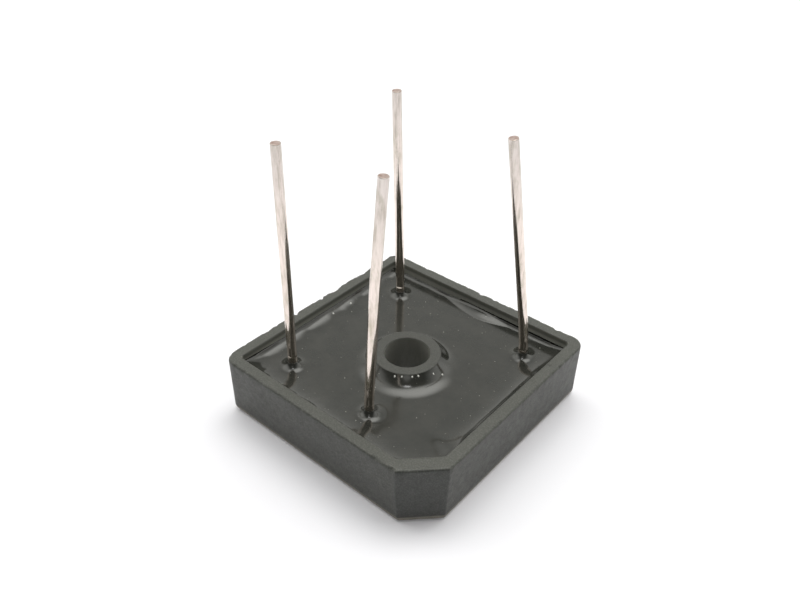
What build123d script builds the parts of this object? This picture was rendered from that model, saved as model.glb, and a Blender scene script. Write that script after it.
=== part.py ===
"""Bridge rectifier in a square moulded case, potted with epoxy, with four round wire leads.

Millimetres. The closed face lies on z = 0, +Z points up out of the open, potted side, and the origin is on the
axis of the screw hole. The cut polarity corner is at +X -Y.
"""
from build123d import *
import math
import os

# Case, outside
CASE_SIDE = 28.5            # side of the square at the rim
CASE_BASE_SIDE = 28.0       # side just above the bevel, smaller by the mould draft
CASE_HEIGHT = 7.4
RIM_CUT_LEG = 3.6           # leg of the cut corner at the rim
BASE_CUT_LEG = 3.3
RIM_CORNER_RADIUS = 1.6     # the other three upright corners
BASE_CORNER_RADIUS = 0.7
CUT_EDGE_RADIUS = 0.3       # the two upright edges of the cut corner
BASE_BEVEL = 0.5            # how far in from the walls the closed face ends
BASE_BEVEL_HEIGHT = 0.75

# Case, inside
RIM_WALL = 1.4
FLOOR_WALL = 1.65
FLOOR = 1.2
INNER_CUT_LEG = 3.3
INNER_CORNER_RADIUS = 0.4

# Boss round the screw hole
HOLE_RADIUS = 2.525
BOSS_RADIUS = 3.79
BOSS_TOP = 7.05

# Potting, level in the open and drawn up at the walls, the boss and the leads.
# Each climb is one or two slopes: how far out from the thing and how high over the level their ends are.
POTTING_LEVEL = 5.85
WALL_CLIMB = ((1.5, 0), (0.6, 0.18), (0.04, 0.55))
BOSS_CLIMB = ((1.8, 0), (0.04, 0.25))
LEAD_CLIMB = ((1.2, 0), (0.4, 0.25), (0.04, 0.7))

# Leads
LEAD_RADIUS = 0.525
LEAD_PITCH = 18.1           # between the corner leads
LEAD_INSET_PITCH = 11.4     # from the set-in positive lead to its neighbour
LEAD_SHIFT = Vector(0.15, 0.13)  # how far off the middle of the case the lead frame was potted
LEAD_REACH = 26.65          # height of a tip above the potting
LEAD_BEND_HEIGHT = 1.7      # above the potting surface and just clear of the rim, where the lean of a lead starts
LEAD_BEND_RADIUS = 8.0
LEAD_KNEE_RADIUS = 40.0
HEAD_RADIUS = 1.0           # nail head that a lead stands on
HEAD_THICKNESS = 0.4

# Metal and silicon inside, from the case floor up
SPREADER_SIDE = 23.2
SPREADER_THICKNESS = 1.2
SPREADER_CUT_LEG = 2.6
SPREADER_CHAMFER = 0.8      # at the three plain corners
SPREADER_HOLE_RADIUS = 4.9
INSULATION = 0.35           # epoxy between the spreader and the copper plates
PLATE_THICKNESS = 0.7
PLATE_OUTER = 11.3          # outer edges of a plate's arms, from the middle of the case
PLATE_INNER = 5.2           # inner edges of its arms
PLATE_ARM_END = 4.5
PLATE_CUT_LEG = 1.8
PLATE_CHAMFER = 0.4
SOLDER = 0.08
CHIP_SIDE = 4.2
CHIP_THICKNESS = 0.28
CHIP_BEVEL = 0.1
UNDER_CHIP_SIDE = 4.0       # solder under a chip
OVER_CHIP_SIDE = 2.6        # solder over a chip, and the strap's foot on it
CHIP_ACROSS = 8.3           # from the middle of the case to a chip, across its arm
CHIP_ALONG = 2.2            # and along it
STRAP_THICKNESS = 0.5
STRAP_WIDTH = 3.6
STRAP_PAD_RADIUS = 2.2      # round pad under a lead
STRAP_FOOT_DEPTH = 0.25     # pressed down onto a chip
HEAD_SOLDER_RADIUS = 1.25   # solder under a nail head

# Heights worked out from those
plate_bottom = FLOOR + SPREADER_THICKNESS + INSULATION
plate_top = plate_bottom + PLATE_THICKNESS
chip_bottom = plate_top + SOLDER
chip_top = chip_bottom + CHIP_THICKNESS
foot_bottom = chip_top + SOLDER
strap_bottom = foot_bottom + STRAP_FOOT_DEPTH
strap_top = strap_bottom + STRAP_THICKNESS

# What a millimetre of inset takes off the leg of a cut corner
LEG_INSET = 2 - math.sqrt(2)

# Direction out of the case through its cut corner
CUT_DIRECTION = Axis((0, 0, 0), (1, -1, 0))

# Turns that place the two plates and the two straps, which are alike
PLATE_TURNS = {"positive": 0, "negative": 180}
STRAP_TURNS = {"left": 0, "right": 180}

# Centres of the four chips
CHIP_PLACES = {
    "front": (-CHIP_ALONG, -CHIP_ACROSS),
    "right": (CHIP_ACROSS, CHIP_ALONG),
    "left": (-CHIP_ACROSS, -CHIP_ALONG),
    "back": (CHIP_ALONG, CHIP_ACROSS),
}

# Each lead's place in the pattern, the surface it stands on, how far its tip leans over, and where its knee is:
# the height above the potting and the push off the straight line, or nothing if the lead is straight
corner = LEAD_PITCH / 2
LEADS = {
    "positive_lead": ((LEAD_INSET_PITCH - corner, -corner), plate_top, (0.84, 1.46), (15.2, (-0.11, -0.09))),
    "negative_lead": ((-corner, corner), plate_top, (0.32, -1.20), None),
    "ac_lead_left": ((-corner, -corner), strap_top, (0.64, -0.13), None),
    "ac_lead_right": ((corner, corner), strap_top, (-2.01, -3.10), (5.7, (0.06, 0.05))),
}

os.makedirs("parts", exist_ok=True)


def cut_square(half, leg, corner_radius, cut_radius, level):
    """A square with its +X -Y corner cut off and its corners rounded, at a height."""
    with BuildSketch(Plane.XY.offset(level)) as outline:
        with BuildLine():
            Polyline((-half, -half), (half - leg, -half), (half, leg - half), (half, half), (-half, half), close=True)
        make_face()
        at_cut = outline.vertices().group_by(CUT_DIRECTION)[-1]
        fillet(outline.vertices() - at_cut, corner_radius)
        fillet(outline.vertices().group_by(CUT_DIRECTION)[-1], cut_radius)
    return outline.sketch


def cavity_outline(level, inset=0):
    """The inside of the case at a height, or a line that far in from its walls."""
    floor_half = CASE_BASE_SIDE / 2 - FLOOR_WALL
    rim_half = CASE_SIDE / 2 - RIM_WALL
    half = floor_half + (rim_half - floor_half) * (level - FLOOR) / (CASE_HEIGHT - FLOOR)
    leg = INNER_CUT_LEG - LEG_INSET * inset
    radius = INNER_CORNER_RADIUS + inset
    return cut_square(half - inset, leg, radius, radius, level)


def climb_profile(radius, climb, place=(0, 0)):
    """Half section of the epoxy drawn up round something of a radius, to be turned round its axis."""
    top = climb[-1][1]
    with BuildSketch(Plane((*place, POTTING_LEVEL), x_dir=(1, 0, 0), z_dir=(0, -1, 0))) as profile:
        with BuildLine():
            Polyline((0, 0), *[(radius + out, rise) for out, rise in climb], (0, top), close=True)
        make_face()
    return profile.sketch


# Inside of the case, used by the case and by the potting
with BuildPart() as cavity:
    loft([cavity_outline(FLOOR), cavity_outline(CASE_HEIGHT)], ruled=True)

# Case: drafted shell with a bevelled bottom edge, a floor, a cut corner and the boss
with BuildPart() as case:
    closed_face = cut_square(
        CASE_BASE_SIDE / 2 - BASE_BEVEL,
        BASE_CUT_LEG - LEG_INSET * BASE_BEVEL,
        BASE_CORNER_RADIUS,
        CUT_EDGE_RADIUS,
        0,
    )
    base = cut_square(CASE_BASE_SIDE / 2, BASE_CUT_LEG, BASE_CORNER_RADIUS, CUT_EDGE_RADIUS, BASE_BEVEL_HEIGHT)
    rim = cut_square(CASE_SIDE / 2, RIM_CUT_LEG, RIM_CORNER_RADIUS, CUT_EDGE_RADIUS, CASE_HEIGHT)
    loft([closed_face, base, rim], ruled=True)
    add(cavity.part, mode=Mode.SUBTRACT)
    with BuildSketch():
        Circle(BOSS_RADIUS)
    extrude(amount=BOSS_TOP)
    Hole(HOLE_RADIUS)
case.part.label = "case"
export_step(case.part, "parts/case.step")

# Heat spreader on the case floor
with BuildPart() as heat_spreader:
    with BuildSketch(Plane.XY.offset(FLOOR)) as outline:
        Rectangle(SPREADER_SIDE, SPREADER_SIDE)
        at_cut = outline.vertices().group_by(CUT_DIRECTION)[-1]
        chamfer(outline.vertices() - at_cut, SPREADER_CHAMFER)
        chamfer(outline.vertices().group_by(CUT_DIRECTION)[-1], SPREADER_CUT_LEG)
        Circle(SPREADER_HOLE_RADIUS, mode=Mode.SUBTRACT)
    extrude(amount=SPREADER_THICKNESS)
heat_spreader.part.label = "heat_spreader"
export_step(heat_spreader.part, "parts/heat_spreader.step")
inside = [heat_spreader.part]

# Positive and negative plates: the same stamping, turned half way round
for pole, turn in PLATE_TURNS.items():
    with BuildPart() as plate:
        with BuildSketch(Plane.XY.offset(plate_bottom).rotated((0, 0, turn))) as outline:
            with BuildLine():
                Polyline(
                    (-PLATE_ARM_END, -PLATE_OUTER),
                    (PLATE_OUTER - PLATE_CUT_LEG, -PLATE_OUTER),
                    (PLATE_OUTER, PLATE_CUT_LEG - PLATE_OUTER),
                    (PLATE_OUTER, PLATE_ARM_END),
                    (PLATE_INNER, PLATE_ARM_END),
                    (PLATE_INNER, -PLATE_INNER),
                    (-PLATE_ARM_END, -PLATE_INNER),
                    close=True,
                )
            make_face()
            chamfer(outline.vertices(), PLATE_CHAMFER)
        extrude(amount=PLATE_THICKNESS)
    plate.part.label = f"{pole}_plate"
    export_step(plate.part, f"parts/{pole}_plate.step")
    inside.append(plate.part)

# Diode chips with the solder under and over each
for side, place in CHIP_PLACES.items():
    with BuildPart() as solder_under:
        with BuildSketch(Plane.XY.offset(plate_top)):
            with Locations(place):
                Rectangle(UNDER_CHIP_SIDE, UNDER_CHIP_SIDE)
        extrude(amount=SOLDER)
    solder_under.part.label = f"solder_under_chip_{side}"
    export_step(solder_under.part, f"parts/solder_under_chip_{side}.step")

    with BuildPart() as chip:
        with BuildSketch(Plane.XY.offset(chip_bottom)):
            with Locations(place):
                Rectangle(CHIP_SIDE, CHIP_SIDE)
        extrude(amount=CHIP_THICKNESS)
        chamfer(chip.edges().group_by(Axis.Z)[-1], CHIP_BEVEL)
    chip.part.label = f"chip_{side}"
    export_step(chip.part, f"parts/chip_{side}.step")

    with BuildPart() as solder_over:
        with BuildSketch(Plane.XY.offset(chip_top)):
            with Locations(place):
                Rectangle(OVER_CHIP_SIDE, OVER_CHIP_SIDE)
        extrude(amount=SOLDER)
    solder_over.part.label = f"solder_over_chip_{side}"
    export_step(solder_over.part, f"parts/solder_over_chip_{side}.step")
    inside += [solder_under.part, chip.part, solder_over.part]

# Straps over the chips: two arms from the lead's pad, each with a foot pressed down onto its chip
for side, turn in STRAP_TURNS.items():
    with BuildPart() as strap:
        with BuildSketch(Plane.XY.offset(strap_bottom).rotated((0, 0, turn))):
            with Locations((-(CHIP_ACROSS + CHIP_ALONG) / 2, -CHIP_ACROSS)):
                SlotCenterToCenter(CHIP_ACROSS - CHIP_ALONG, STRAP_WIDTH)
            with Locations((-CHIP_ACROSS, -(CHIP_ACROSS + CHIP_ALONG) / 2)):
                SlotCenterToCenter(CHIP_ACROSS - CHIP_ALONG, STRAP_WIDTH, rotation=90)
            with Locations((-corner, -corner)):
                Circle(STRAP_PAD_RADIUS)
        extrude(amount=STRAP_THICKNESS)
        with BuildSketch(Plane.XY.offset(foot_bottom).rotated((0, 0, turn))):
            with Locations((-CHIP_ALONG, -CHIP_ACROSS), (-CHIP_ACROSS, -CHIP_ALONG)):
                Rectangle(OVER_CHIP_SIDE, OVER_CHIP_SIDE)
        extrude(amount=STRAP_FOOT_DEPTH)
    strap.part.label = f"ac_strap_{side}"
    export_step(strap.part, f"parts/ac_strap_{side}.step")
    inside.append(strap.part)

# Leads: a nail head on solder, an upright root in the epoxy, then the leaning wire with its knee
lead_feet = []
for name, (place, surface, lean, knee) in LEADS.items():
    foot = Vector(*place) + LEAD_SHIFT
    lead_feet.append(foot)
    root = foot + Vector(0, 0, surface + SOLDER)
    bend = foot + Vector(0, 0, POTTING_LEVEL + LEAD_BEND_HEIGHT)
    tip = foot + Vector(*lean, POTTING_LEVEL + LEAD_REACH)
    route = [root, bend, tip]
    radii = [LEAD_BEND_RADIUS]
    if knee:
        knee_height, push = knee
        share = (knee_height - LEAD_BEND_HEIGHT) / (LEAD_REACH - LEAD_BEND_HEIGHT)
        route.insert(2, bend + (tip - bend) * share + Vector(*push))
        radii.append(LEAD_KNEE_RADIUS)
    with BuildPart() as lead:
        with BuildLine() as wire:
            FilletPolyline(*route, radius=radii)
        with BuildSketch(Plane(root)):
            Circle(LEAD_RADIUS)
        sweep(path=wire.line)
        with BuildSketch(Plane(root)):
            Circle(HEAD_RADIUS)
        extrude(amount=HEAD_THICKNESS)
    lead.part.label = name
    export_step(lead.part, f"parts/{name}.step")

    with BuildPart() as head_solder:
        with BuildSketch(Plane(foot + Vector(0, 0, surface))):
            Circle(HEAD_SOLDER_RADIUS)
        extrude(amount=SOLDER)
    head_solder.part.label = f"solder_{name}"
    export_step(head_solder.part, f"parts/solder_{name}.step")
    inside += [lead.part, head_solder.part]

# Potting: fills the case round everything in it and climbs the walls, the boss and the leads
with BuildPart() as potting:
    add(cavity.part)
    split(bisect_by=Plane.XY.offset(POTTING_LEVEL + WALL_CLIMB[-1][1]), keep=Keep.BOTTOM)
    loft(
        [cavity_outline(POTTING_LEVEL + rise, inset=out) for out, rise in WALL_CLIMB],
        ruled=True,
        mode=Mode.SUBTRACT,
    )
    revolve(climb_profile(BOSS_RADIUS, BOSS_CLIMB), axis=Axis.Z)
    for foot in lead_feet:
        revolve(climb_profile(LEAD_RADIUS, LEAD_CLIMB, (foot.X, foot.Y)), axis=Axis(foot, (0, 0, 1)))
    with BuildSketch():
        Circle(BOSS_RADIUS)
    extrude(amount=BOSS_TOP, mode=Mode.SUBTRACT)
    add(inside, mode=Mode.SUBTRACT)
potting.part.label = "potting"
export_step(potting.part, "parts/potting.step")
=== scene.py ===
"""Looks of a potted bridge rectifier: moulded case, glossy epoxy, four tinned wires and the pieces inside.

Lengths are in millimetres in the part's own frame, and become metres where a mesh is made.
"""

import math

import bmesh
import bpy
import numpy as np
from mathutils import Matrix, Vector, noise
from mathutils.geometry import delaunay_2d_cdt


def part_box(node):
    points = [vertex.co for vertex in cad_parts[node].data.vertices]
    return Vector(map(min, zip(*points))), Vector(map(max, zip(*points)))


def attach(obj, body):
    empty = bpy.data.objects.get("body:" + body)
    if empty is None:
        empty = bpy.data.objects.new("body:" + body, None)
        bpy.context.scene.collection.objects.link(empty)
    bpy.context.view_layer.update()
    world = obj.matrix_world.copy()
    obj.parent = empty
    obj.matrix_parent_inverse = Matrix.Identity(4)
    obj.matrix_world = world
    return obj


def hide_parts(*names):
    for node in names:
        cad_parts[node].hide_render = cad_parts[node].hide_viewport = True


MM = 0.001
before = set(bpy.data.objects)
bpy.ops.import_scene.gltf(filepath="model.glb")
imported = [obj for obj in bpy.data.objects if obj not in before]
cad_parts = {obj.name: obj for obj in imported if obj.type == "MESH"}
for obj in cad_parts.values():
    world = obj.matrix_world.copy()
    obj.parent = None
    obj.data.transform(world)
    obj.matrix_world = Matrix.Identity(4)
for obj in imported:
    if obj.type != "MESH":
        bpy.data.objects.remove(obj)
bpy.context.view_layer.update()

# Case, with its size at the rim taken from the frame
case_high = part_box("case")[1] / MM
RIM_HALF = case_high.x
CASE_HEIGHT = case_high.z
WALL_DRAFT = 0.25           # how much further out the walls are at the rim than at the base
BASE_HALF = RIM_HALF - WALL_DRAFT
RIM_CUT_LEG = 3.6
BASE_CUT_LEG = 3.3
RIM_CORNER_RADIUS = 1.6
BASE_CORNER_RADIUS = 0.7
CUT_EDGE_RADIUS = 0.3
BASE_BEVEL = 0.5            # how far in from the walls the closed face ends, and the height that takes
BASE_BEVEL_HEIGHT = 0.75
HOLE_BEVEL = 0.2
RIM_WALL = 1.4              # thickness of the walls at the rim
FLOOR_WALL = 1.65           # and at the floor
FLOOR = 1.2
INNER_CUT_LEG = 3.3
INNER_CORNER_RADIUS = 0.4
HOLE_RADIUS = 2.525
BOSS_RADIUS = 3.79
BOSS_TOP = 7.05
EDGE_ROUND = 0.13           # worn round of the rim's inner edge and the boss's edges
RIM_ROUND = 0.24            # and of the rim's outer edge

# Wear of the rim's outer edge
CHIPS = [                   # size of their lumps, seed, values of the noise over which they set in, and share
    (0.7, 2, (0.12, 0.3), 1),
    (1.6, 1, (0.1, 0.3), 0.6),
]
CHIP_DEPTH = 0.07
GRAIN = (0.45, 12)          # fine grain beside the chips: size of its lumps and seed
GRAIN_DEPTH = 0.05
LEAST_WEAR = 0.6            # how worn the edge is on most sides, as a share
MORE_WEAR = 1.4             # and what is added on the back half of the -X wall
MORE_WEAR_STARTS = ((12.5, 14), (-9, -3))  # between which values of -X and of +Y that sets in
WEAR_FALL = 0.7             # how far a chip reaches down for what it reaches in
WEAR_MIDDLE = 0.7           # share of the way up the round where the wear is deepest
WEAR_THINNING = 0.25        # and the share of it that would be lost over the whole round's height from there
LAST_WORN_RING = (0.08, 0.45)  # how far past the round the last worn ring lies, and its share of the wear
# Single chips out of it: place, radius and depth
NICKS = [
    (-0.1, 14.2, 0.45, 0.12),
    (1.8, 14.2, 0.4, 0.1),
    (10.5, 14.2, 0.5, 0.13),
    (7.9, -14.25, 0.5, 0.1),
    (10.1, -14.2, 0.5, 0.12),
    (-14.2, 3.1, 0.7, 0.08),
]

# The rim's land
LAND_DROP = 0.02            # how far it lies under the full height on average
LAND_LUMPS = (3.5, 3)       # size of its lumps and seed
LAND_GRAIN = (0.3, 4)       # the same of its fine grain
LAND_GRAIN_DEPTH = 0.012
# A pit and two shallow dents in it: place, radius and depth
PITS = [
    (13.25, 8.1, 0.28, 0.2),
    (-10.5, -13.6, 0.35, 0.1),
    (13.7, -4.7, 0.5, 0.05),
]

# Epoxy at the walls: how high it climbs, and the distance over which that falls to about a third
LEVEL = 5.85
WALL_RISES = {"left": 0.46, "back": 0.22, "front": 0.85, "right": 1.12, "cut": 0.3}
WALL_FADES = {"left": 0.75, "back": 0.5, "front": 1.4, "right": 1.2, "cut": 0.8}
WALL_SKIN = (0.16, 0.12)    # a thin skin drawn further up every wall: its height and how fast it thins
RIM_GAP = 0.2               # least depth of the climbs at the walls under the rim
EDGE_GAP = 0.3              # and of the open surface's edges
RIGHT_BULGE = (-7.4, 1.1, 0.3)  # where the +X climb is wider: place along Y, reach and how much wider
RIGHT_START = (-11.5, -5.5)  # between these, along Y, that climb grows to its full height
RIGHT_END = (6, 11)         # and between these it loses this share of it
RIGHT_LOSS = 0.6
RIGHT_CALM = ((2.5, 1.0), 0.7)  # distances from that wall between which the unevenness fades, and its loss

# Unevenness of the epoxy, as layers of noise: how much each gives, the size of its lumps and its seed
WALL_WAVES = [(0.16, 2.6, 5), (0.05, 0.9, 6)]
LEFT_WAVES = [(0.5, 2.8, 9), (0.12, 1.1, 10)]
SKIN_WAVES = [(0.3, 1.4, 11)]
BEAD_WAVES = [(0.1, 2.0, 7)]
LEVEL_WAVES = [(0.008, 4.5, 8)]

# Epoxy at the boss: slope of the climb at distances from it
BOSS_SLOPES = [
    (0, 0.95), (0.15, 0.86), (0.3, 0.78), (0.8, 0.66), (1.05, 0.52),
    (1.35, 0.36), (1.8, 0.22), (2.4, 0.09), (2.8, 0),
]
BOSS_NARROWING = 0.9        # how much faster it falls off on the side away from the camera, as a share
BACK = (-0.648, 0.762)      # the camera's heading over the ground
BACK_SIDE = (-0.5, 0.7)     # how far along it, from -1 to 1, that side begins and is reached in full

# Epoxy at the leads
LEAD_STEEPEST = 1.6         # the steepest that the climb gets, at the lead's skin
LEAD_PULL = 0.85            # steepness of the climb against a free one's
LEAD_FADE = (0.85, 2.1)     # distances from a lead's axis between which its climb dies away

# Bead of epoxy drawn along the +Y wall
BEAD_WIDTHS = (0.35, 1.42)  # its width away from its middle and there
BEAD_MIDDLE = 0.9
BEAD_REACH = (4.2, 3.6)     # distances over which it narrows, towards -X and +X
BEAD_STARTS = (-10, -6)     # between these it comes up, along X
BEAD_ENDS = (7, 12)         # and between these it dies away
BEAD_STEEPNESS = 0.24       # height over width

# Small bubbles of the open surface, round the boss and along the -X wall: place and radius
BUBBLES = [
    (0.35, -5.75, 0.09),
    (1.45, -3.75, 0.1),
    (2.1, -3.35, 0.09),
    (2.95, -2.62, 0.09),
    (3.35, -2.1, 0.1),
    (4.2, -0.55, 0.09),
    (4.75, 0.3, 0.1),
    (-12.1, 0.6, 0.12),
    (-12.0, 3.5, 0.12),
    (-12.0, 8.6, 0.12),
]
BUBBLE_HEIGHT = 0.7         # over radius

# Leads
LEAD_RADIUS = 0.525
HEAD_RADIUS = 1.0
HEAD_THICKNESS = 0.4
LEAD_REACH = 26.65
LEAD_BEND_HEIGHT = 1.7
LEAD_BEND_RADIUS = 8.0
LEAD_KNEE_RADIUS = 40.0
PLATE_ROOT = 3.53           # underside of the nail heads on the plates
STRAP_ROOT = 4.72           # and on the straps

# Each lead's foot, the height of its root, how far its tip leans over, and its knee:
# the height above the epoxy and the push off the straight line, or nothing if the lead is straight
LEADS = {
    "positive_lead": ((2.5, -8.92), PLATE_ROOT, (0.84, 1.46), (15.2, (-0.11, -0.09))),
    "negative_lead": ((-8.9, 9.18), PLATE_ROOT, (0.32, -1.2), None),
    "ac_lead_left": ((-8.9, -8.92), STRAP_ROOT, (0.64, -0.13), None),
    "ac_lead_right": ((9.2, 9.18), STRAP_ROOT, (-2.01, -3.1), (5.7, (0.06, 0.05))),
}

# Ripples of the tin
RIPPLE_DEPTH = 0.002
RIPPLE_SIZE = 0.9
RIPPLE_STRETCH = 3          # length over width
RIPPLES_START = 1.2         # height above the epoxy
# The sheared tip: distance below it and how much thinner than the wire, then the rings on its face
TIP_EDGE = [(0.06, 0), (0.015, 0.02), (0, 0.07)]
TIP_FACE = (0.55, 0.2)

# Mesh steps of the case
SIDE_STEPS = 170
CUT_STEPS = 24
CORNER_STEPS = 12
WALL_RINGS = 14
LAND_RINGS = 9
BOSS_FACE_RINGS = 5
FIRST_LAND_RING = 0.18      # past the round of the rim's outer edge
LAST_WALL_RING = 0.2        # under it
FACE_RING_GAP = 0.2         # between a rounded edge and the first ring on the boss's face
INNER_WALL_HEIGHTS = (7.1, 6.9, 6.6, 6.2, 5.8, FLOOR)
BOSS_HEIGHTS = (FLOOR, 5.6, 6.0, 6.4)
HOLE_HEIGHTS = (6.0, 4.0, 2.0)

# Mesh steps of a lead
LEAD_SIDES = 40
LEAD_STEP = 0.16

# Mesh steps of the epoxy's open surface: a grid, and closer points where it curves
EPOXY_STEP = 0.3
EPOXY_EDGE_STEP = 0.16
FIRST_RING = 0.03           # rings round the boss and the leads: how far out the first one is
RING_STEP = (0.04, 0.09)    # the step to the next, and how much it grows for each millimetre out
RING_SPACING = (0.08, 0.12)  # the same of the points in a ring
RING_LEAST_POINTS = 42
LEAD_RINGS_REACH = 1.9
BOSS_RINGS_REACH = 3.0
BUBBLE_RINGS = (0.3, 0.6, 0.85, 1, 1.15)  # over the bubble's radius
BUBBLE_SIDES = 16
BEAD_LINES = (0.5, 0.7, 0.85, 0.94, 1, 1.07)  # over the bead's width
BEAD_LINE_ENDS = (-9, 11)
WALL_LINES = (              # distances from the walls
    0.04, 0.09, 0.15, 0.22, 0.34, 0.5, 0.66, 0.82, 1.0, 1.18, 1.36, 1.54, 1.7, 1.84, 1.98, 2.12,
)
GRID_GAP = 0.1              # between the rings and the grid
GRID_TO_WALLS = 2.25        # between the walls and the grid
GRID_TO_CORNER = 6.4        # how far short of the uncut corner the grid ends, as x less y
LEAST_GAP = 0.02            # between any point and the boss or a lead
LEAST_WALL_GAP = 0.03       # and a wall


def mesh_object(name, mesh, materials, node):
    """Puts a finished mesh into the scene in place of a CAD node."""
    piece = bpy.data.objects.new(name, mesh)
    bpy.context.scene.collection.objects.link(piece)
    for material in materials:
        mesh.materials.append(material)
    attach(piece, "root")
    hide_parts(node)
    return piece


def smooth_mesh(name, points, faces, sharp_degrees):
    """A mesh in metres from millimetre points, smooth but for its sharp edges."""
    mesh = bpy.data.meshes.new(name)
    mesh.from_pydata((np.asarray(points) * MM).tolist(), [], faces)
    finish_mesh(mesh, sharp_degrees)
    return mesh


def finish_mesh(mesh, sharp_degrees):
    """Turns the faces outward and smooths them, but for edges sharper than an angle."""
    work = bmesh.new()
    work.from_mesh(mesh)
    bmesh.ops.recalc_face_normals(work, faces=work.faces)
    work.to_mesh(mesh)
    work.free()
    mesh.shade_smooth()
    mesh.set_sharp_from_angle(angle=math.radians(sharp_degrees))
    mesh.update()


def fade(low, high, value):
    """0 below low, 1 above high and a smooth step between them."""
    share = np.clip((np.asarray(value, float) - low) / (high - low), 0, 1)
    return share * share * (3 - 2 * share)


def noise_at(points, size, seed):
    """Smooth noise from -1 to 1 at millimetre points, its lumps about a size across."""
    shift = Vector((seed * 7.31, seed * 3.17, seed * 5.77))
    return np.array([noise.noise(Vector(point) / size + shift) for point in np.asarray(points, float)])


def waves(points, layers):
    """Sum of layers of noise, each with how much it gives, the size of its lumps and its seed."""
    return sum(amount * noise_at(points, size, seed) for amount, size, seed in layers)


def circle(radius, count):
    """Points round a circle about the origin."""
    angle = np.linspace(0, 2 * math.pi, count, endpoint=False)
    return radius * np.column_stack([np.cos(angle), np.sin(angle)])


# Case

def cut_square(half, leg, corner_radius, cut_radius):
    """Points round a square with its +X -Y corner cut off, the same number whatever its size."""
    corners = [
        (-half, -half, corner_radius),
        (half - leg, -half, cut_radius),
        (half, leg - half, cut_radius),
        (half, half, corner_radius),
        (-half, half, corner_radius),
    ]
    steps = [SIDE_STEPS, CUT_STEPS, SIDE_STEPS, SIDE_STEPS, SIDE_STEPS]
    arcs = []
    for index, (x, y, radius) in enumerate(corners):
        here = np.array((x, y))
        before = np.array(corners[index - 1][:2]) - here
        after = np.array(corners[(index + 1) % len(corners)][:2]) - here
        before /= np.linalg.norm(before)
        after /= np.linalg.norm(after)
        half_angle = math.acos(np.clip(before @ after, -1, 1)) / 2
        middle = (before + after) / np.linalg.norm(before + after)
        centre = here + middle * radius / math.sin(half_angle)
        start = here + before * radius / math.tan(half_angle) - centre
        end = here + after * radius / math.tan(half_angle) - centre
        turn = math.pi - 2 * half_angle
        shares = np.linspace(0, 1, CORNER_STEPS + 1)[:, None]
        arc = (np.sin((1 - shares) * turn) * start + np.sin(shares * turn) * end) / math.sin(turn)
        arcs.append(centre + arc)
    line = []
    for index, count in enumerate(steps):
        line.append(arcs[index])
        start = arcs[index][-1]
        end = arcs[(index + 1) % len(arcs)][0]
        shares = np.linspace(0, 1, count + 1)[1:-1, None]
        line.append(start + (end - start) * shares)
    return np.concatenate(line)


def at_height(outline, height):
    return np.column_stack([outline, np.full(len(outline), float(height))])


def outer_outline(height):
    """Outside of the case at a height above its base bevel."""
    share = (height - BASE_BEVEL_HEIGHT) / (CASE_HEIGHT - BASE_BEVEL_HEIGHT)
    return cut_square(
        BASE_HALF + (RIM_HALF - BASE_HALF) * share,
        BASE_CUT_LEG + (RIM_CUT_LEG - BASE_CUT_LEG) * share,
        BASE_CORNER_RADIUS + (RIM_CORNER_RADIUS - BASE_CORNER_RADIUS) * share,
        CUT_EDGE_RADIUS,
    )


def inner_half(height):
    """Half the width of the case's inside at a height."""
    floor_half = BASE_HALF - FLOOR_WALL
    share = (height - FLOOR) / (CASE_HEIGHT - FLOOR)
    return floor_half + (RIM_HALF - RIM_WALL - floor_half) * share


def inner_outline(height):
    return cut_square(inner_half(height), INNER_CUT_LEG, INNER_CORNER_RADIUS, INNER_CORNER_RADIUS)


def rim_ring(inset, height):
    """A ring on or near the rim, an inset in from the outside."""
    share = inset / RIM_WALL
    outside = outer_outline(min(height, CASE_HEIGHT))
    return at_height(outside * (1 - share) + inner_outline(CASE_HEIGHT) * share, height)


def base_ring(rise, inset):
    """A ring on the rounded bevel under the walls, by its share of the way down and of the way in."""
    return at_height(
        cut_square(
            BASE_HALF - BASE_BEVEL * inset,
            BASE_CUT_LEG - (2 - math.sqrt(2)) * BASE_BEVEL * inset,
            BASE_CORNER_RADIUS,
            CUT_EDGE_RADIUS,
        ),
        BASE_BEVEL_HEIGHT * (1 - rise),
    )


def round_edge(steps=4):
    """Sine and versed sine of the angles over a rounded edge."""
    for step in range(steps + 1):
        angle = math.pi / 2 * step / steps
        yield math.sin(angle), 1 - math.cos(angle)


def worn(ring, strength):
    """Takes worn dips out of a rim edge: in from the side and down from the top."""
    flat = ring[:, :2]
    tangent = np.roll(flat, -1, axis=0) - np.roll(flat, 1, axis=0)
    tangent /= np.linalg.norm(tangent, axis=1)[:, None]
    outward = np.column_stack([tangent[:, 1], -tangent[:, 0]])
    chips = sum(share * fade(*limits, noise_at(ring, size, seed)) for size, seed, limits, share in CHIPS)
    grain = np.clip(noise_at(ring, *GRAIN), 0, 1)
    towards_left, towards_back = MORE_WEAR_STARTS
    wear = LEAST_WEAR + MORE_WEAR * fade(*towards_left, -ring[:, 0]) * fade(*towards_back, ring[:, 1])
    depth = strength * wear * (CHIP_DEPTH * chips + GRAIN_DEPTH * grain)
    for x, y, radius, bite in NICKS:
        distance = np.hypot(ring[:, 0] - x, ring[:, 1] - y)
        depth += bite * strength * (1 - fade(0, radius, distance))
    moved = ring.copy()
    moved[:, :2] -= outward * depth[:, None]
    moved[:, 2] -= WEAR_FALL * depth
    return moved


def pitted(ring):
    """Lets the pits into the land, with the land's own slight unevenness."""
    moved = ring.copy()
    moved[:, 2] -= LAND_DROP * (1 + noise_at(ring, *LAND_LUMPS))
    moved[:, 2] -= LAND_GRAIN_DEPTH * np.abs(noise_at(ring, *LAND_GRAIN))
    for x, y, radius, depth in PITS:
        distance = np.hypot(ring[:, 0] - x, ring[:, 1] - y)
        moved[:, 2] -= depth * (1 - fade(0, radius, distance))
    return moved


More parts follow.
